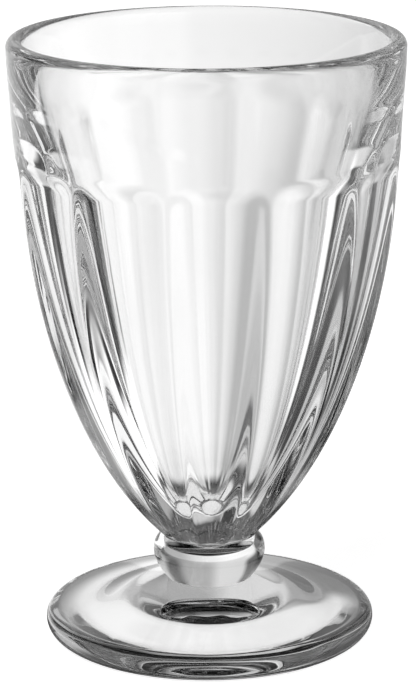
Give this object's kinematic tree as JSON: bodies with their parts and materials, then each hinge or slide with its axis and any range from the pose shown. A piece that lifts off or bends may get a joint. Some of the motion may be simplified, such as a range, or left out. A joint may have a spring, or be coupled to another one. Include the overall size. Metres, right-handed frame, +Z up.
{
  "type": "sundae glass",
  "caption": "Footed sundae glass of clear pressed glass: a deep fluted bowl with a plain collar and thick walls, on a round knop and a broad low foot, for ice cream desserts and floats",
  "frame": {"origin": "on the table, under the middle of the foot", "axes": "+Z up along the axis of the glass; one flute of the bowl faces -Y"},
  "size_m": [0.092, 0.092, 0.1435],
  "materials": {
    "clear_glass": "fire-polished pressed soda-lime glass, smooth and colourless"
  },
  "bodies": {
    "root": {"bowl": "clear_glass", "knop": "clear_glass", "foot": "clear_glass"}
  },
  "joints": []
}
